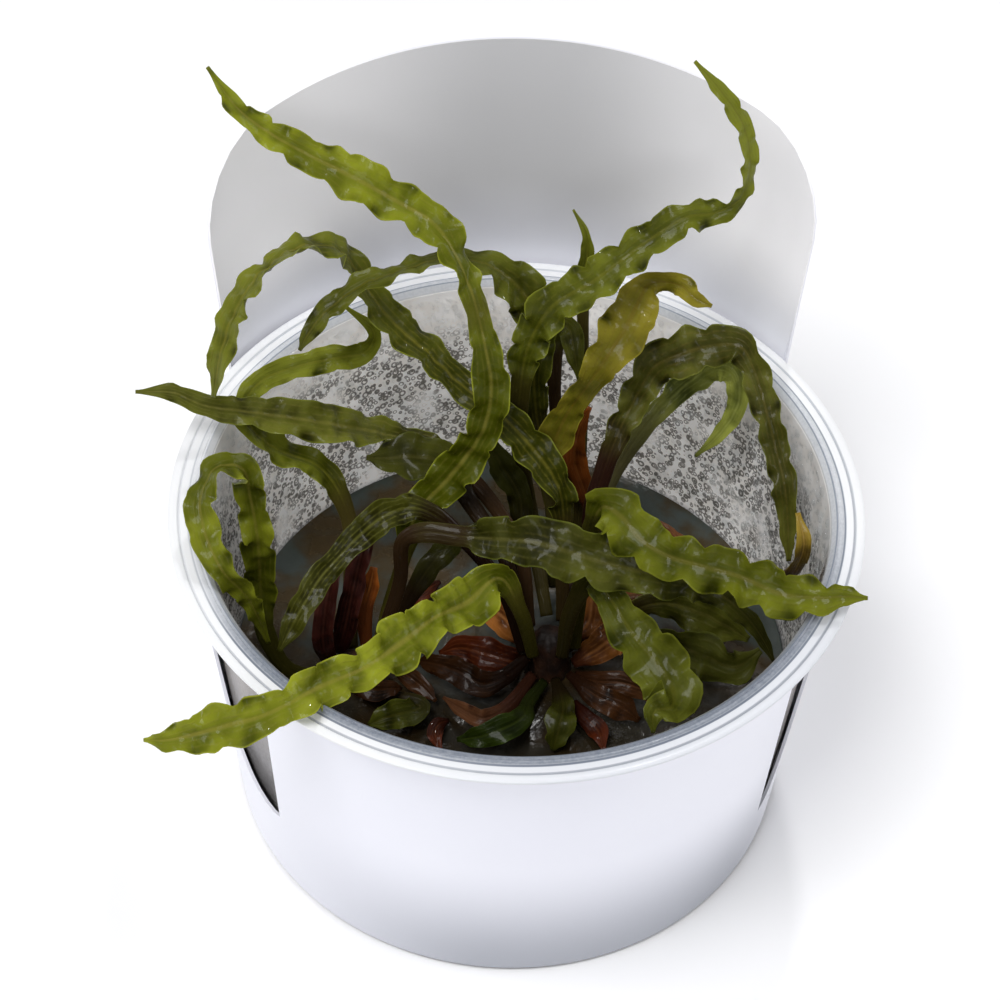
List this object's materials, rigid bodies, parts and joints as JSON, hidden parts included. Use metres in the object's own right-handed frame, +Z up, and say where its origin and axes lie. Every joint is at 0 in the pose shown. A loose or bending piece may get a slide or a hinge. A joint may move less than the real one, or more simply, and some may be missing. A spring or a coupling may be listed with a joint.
{
  "type": "potted cryptocoryne crispatula",
  "caption": "Young tissue-grown aquarium plants with ruffled strap leaves, rooted in clear gel in a round plastic cup with a wrap-round card label that stands up behind.",
  "frame": {"origin": "centre of the cup's flat underside", "axes": "+Z up, -Y towards the front of the label, +X to its right as seen from the front"},
  "size_m": [0.1106, 0.1106, 0.1211],
  "materials": {
    "cup": "clear to milky thin-wall plastic",
    "label": "white coated card",
    "gel": "clear bluish gel, wet",
    "crown_left": "fibrous plant crown",
    "crown_centre": "fibrous plant crown",
    "crown_back": "fibrous plant crown",
    "leaf_upper_left": "fresh leaf, ruffled, glossy and wet",
    "leaf_left_arch": "fresh leaf, ruffled, glossy and wet",
    "leaf_back_left": "fresh leaf, ruffled, glossy and wet",
    "leaf_left_long": "fresh leaf, ruffled, glossy and wet",
    "leaf_left_short": "fresh leaf, ruffled, glossy and wet",
    "leaf_left_curl": "fresh leaf, ruffled, glossy and wet",
    "leaf_left_hook": "fresh leaf, ruffled, glossy and wet",
    "leaf_front_left": "fresh leaf, ruffled, glossy and wet",
    "leaf_left_bent": "fresh leaf, ruffled, glossy and wet",
    "leaf_left_inner": "fresh leaf, ruffled, glossy and wet",
    "leaf_front_right": "fresh leaf, ruffled, glossy and wet",
    "leaf_right_over_rim": "fresh leaf, ruffled, glossy and wet",
    "leaf_front_centre": "fresh leaf, ruffled, glossy and wet",
    "leaf_right_arch": "fresh leaf, ruffled, glossy and wet",
    "leaf_right_hanging": "fresh leaf, ruffled, glossy and wet",
    "leaf_upper_right": "fresh leaf, ruffled, glossy and wet",
    "leaf_thin_upright": "fresh leaf, ruffled, glossy and wet",
    "leaf_back_right": "fresh leaf, ruffled, glossy and wet",
    "leaf_small_curl": "fresh leaf, ruffled, glossy and wet",
    "leaf_wall_right": "fresh leaf, ruffled, glossy and wet",
    "leaf_low_front_left": "fresh leaf, ruffled, glossy and wet",
    "leaf_low_front": "fresh leaf, ruffled, glossy and wet",
    "leaf_low_right": "fresh leaf, ruffled, glossy and wet",
    "leaf_low_right_back": "fresh leaf, ruffled, glossy and wet",
    "old_leaf_a": "old leaf, brown and limp, wet",
    "old_leaf_b": "old leaf, brown and limp, wet",
    "old_leaf_c": "old leaf, brown and limp, wet",
    "old_leaf_d": "old leaf, brown and limp, wet",
    "old_leaf_e": "old leaf, brown and limp, wet",
    "old_leaf_f": "old leaf, brown and limp, wet",
    "old_leaf_i": "old leaf, brown and limp, wet",
    "old_leaf_j": "old leaf, brown and limp, wet",
    "old_leaf_k": "old leaf, brown and limp, wet",
    "leaf_low_front_small": "fresh leaf, ruffled, glossy and wet",
    "old_leaf_g": "old leaf, brown and limp, wet",
    "old_leaf_h": "old leaf, brown and limp, wet",
    "leaf_left_young": "fresh leaf, ruffled, glossy and wet",
    "old_leaf_l": "old leaf, brown and limp, wet",
    "old_leaf_m": "old leaf, brown and limp, wet",
    "old_leaf_n": "old leaf, brown and limp, wet",
    "old_leaf_o": "old leaf, brown and limp, wet",
    "old_leaf_p": "old leaf, brown and limp, wet",
    "old_leaf_r": "old leaf, brown and limp, wet",
    "leaf_inner_back": "fresh leaf, ruffled, glossy and wet",
    "leaf_inner_left": "fresh leaf, ruffled, glossy and wet",
    "old_leaf_t": "old leaf, brown and limp, wet",
    "old_leaf_u": "old leaf, brown and limp, wet",
    "old_leaf_s": "old leaf, brown and limp, wet"
  },
  "bodies": {
    "root": {"cup": "cup", "label": "label", "gel": "gel", "crown_left": "crown_left", "crown_centre": "crown_centre", "crown_back": "crown_back", "leaf_upper_left": "leaf_upper_left", "leaf_left_arch": "leaf_left_arch", "leaf_back_left": "leaf_back_left", "leaf_left_long": "leaf_left_long", "leaf_left_short": "leaf_left_short", "leaf_left_curl": "leaf_left_curl", "leaf_left_hook": "leaf_left_hook", "leaf_front_left": "leaf_front_left", "leaf_left_bent": "leaf_left_bent", "leaf_left_inner": "leaf_left_inner", "leaf_front_right": "leaf_front_right", "leaf_right_over_rim": "leaf_right_over_rim", "leaf_front_centre": "leaf_front_centre", "leaf_right_arch": "leaf_right_arch", "leaf_right_hanging": "leaf_right_hanging", "leaf_upper_right": "leaf_upper_right", "leaf_thin_upright": "leaf_thin_upright", "leaf_back_right": "leaf_back_right", "leaf_small_curl": "leaf_small_curl", "leaf_wall_right": "leaf_wall_right", "leaf_low_front_left": "leaf_low_front_left", "leaf_low_front": "leaf_low_front", "leaf_low_right": "leaf_low_right", "leaf_low_right_back": "leaf_low_right_back", "old_leaf_a": "old_leaf_a", "old_leaf_b": "old_leaf_b", "old_leaf_c": "old_leaf_c", "old_leaf_d": "old_leaf_d", "old_leaf_e": "old_leaf_e", "old_leaf_f": "old_leaf_f", "old_leaf_i": "old_leaf_i", "old_leaf_j": "old_leaf_j", "old_leaf_k": "old_leaf_k", "leaf_low_front_small": "leaf_low_front_small", "old_leaf_g": "old_leaf_g", "old_leaf_h": "old_leaf_h", "leaf_left_young": "leaf_left_young", "old_leaf_l": "old_leaf_l", "old_leaf_m": "old_leaf_m", "old_leaf_n": "old_leaf_n", "old_leaf_o": "old_leaf_o", "old_leaf_p": "old_leaf_p", "old_leaf_r": "old_leaf_r", "leaf_inner_back": "leaf_inner_back", "leaf_inner_left": "leaf_inner_left", "old_leaf_t": "old_leaf_t", "old_leaf_u": "old_leaf_u", "old_leaf_s": "old_leaf_s"}
  },
  "joints": []
}
